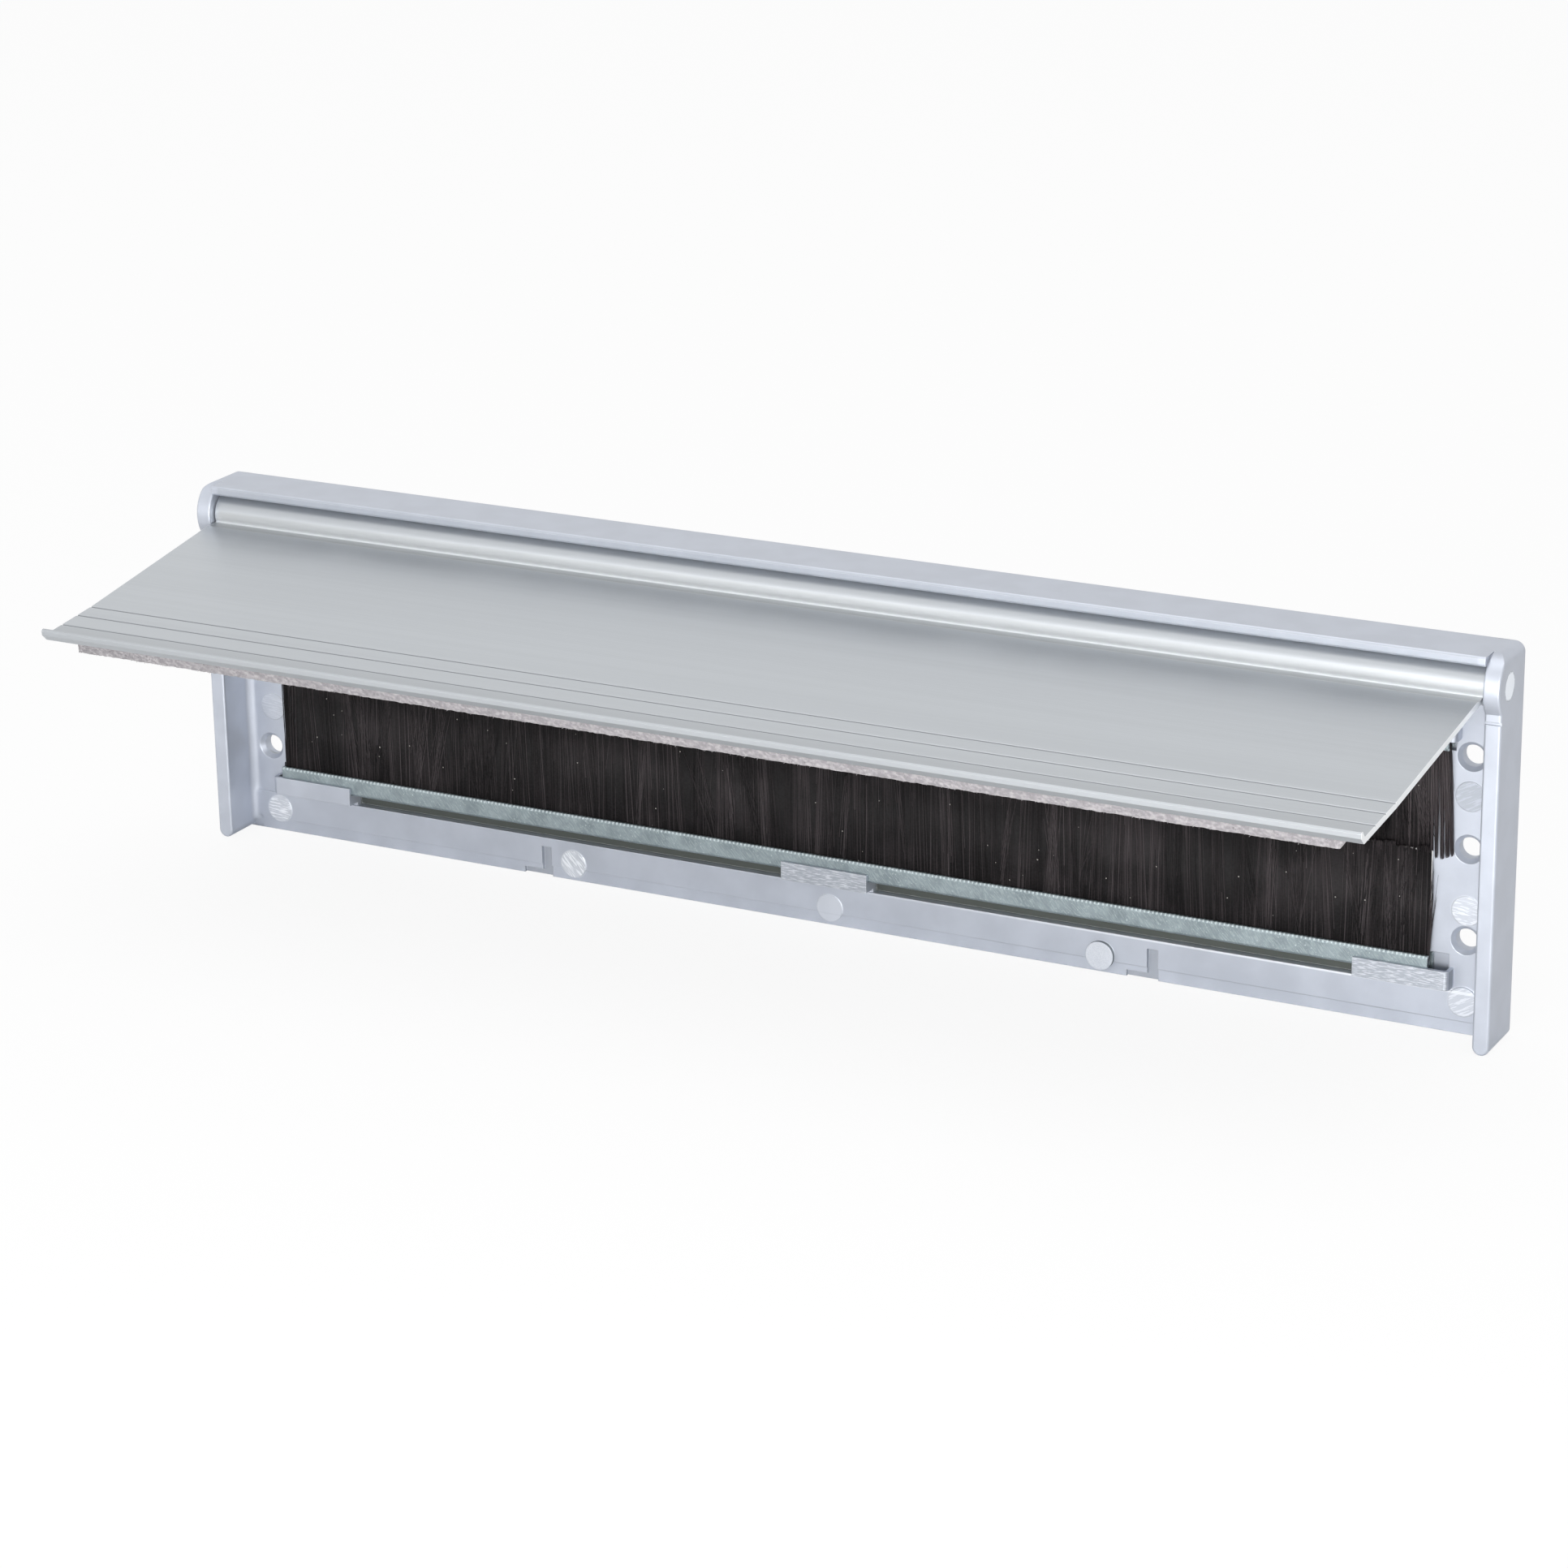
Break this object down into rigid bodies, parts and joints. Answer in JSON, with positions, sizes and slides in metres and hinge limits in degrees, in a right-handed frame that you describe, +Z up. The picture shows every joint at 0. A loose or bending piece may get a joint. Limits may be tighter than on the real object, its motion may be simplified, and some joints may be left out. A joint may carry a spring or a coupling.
{
  "type": "letterbox draught excluder",
  "caption": "Letterbox draught excluder with a screw-on moulded frame, facing strip brushes across the letter opening and a hinged metal flap with a soft seal under a narrow hood.",
  "frame": {"origin": "middle of the screw holes, on the face that meets the door", "axes": "+X along the letter slot to the right as seen from the room, +Y towards the door, +Z up"},
  "size_m": [0.292, 0.0755, 0.08],
  "materials": {
    "frame_plastic": "silver-grey satin",
    "pin_plastic": "pale grey",
    "flap_aluminium": "satin anodised",
    "seal_strip": "soft pile",
    "channel_steel": "zinc coated",
    "wire_steel": "drawn",
    "bristles": "near-black bristle"
  },
  "bodies": {
    "frame_body": {"frame": "frame_plastic", "hinge_pin_left": "pin_plastic", "hinge_pin_right": "pin_plastic", "lower_brush_channel": "channel_steel", "lower_brush_wire": "wire_steel", "lower_brush_bristles": "bristles", "upper_brush_channel": "channel_steel", "upper_brush_wire": "wire_steel", "upper_brush_bristles": "bristles"},
    "flap_body": {"flap": "flap_aluminium", "flap_seal": "seal_strip"}
  },
  "joints": [
    {"name": "flap_hinge", "type": "hinge", "parent": "frame_body", "child": "flap_body", "pos_m": [0, -0.0083, 0.0355], "axis": [1, 0, 0], "range_deg": [-52, 79.5]}
  ]
}
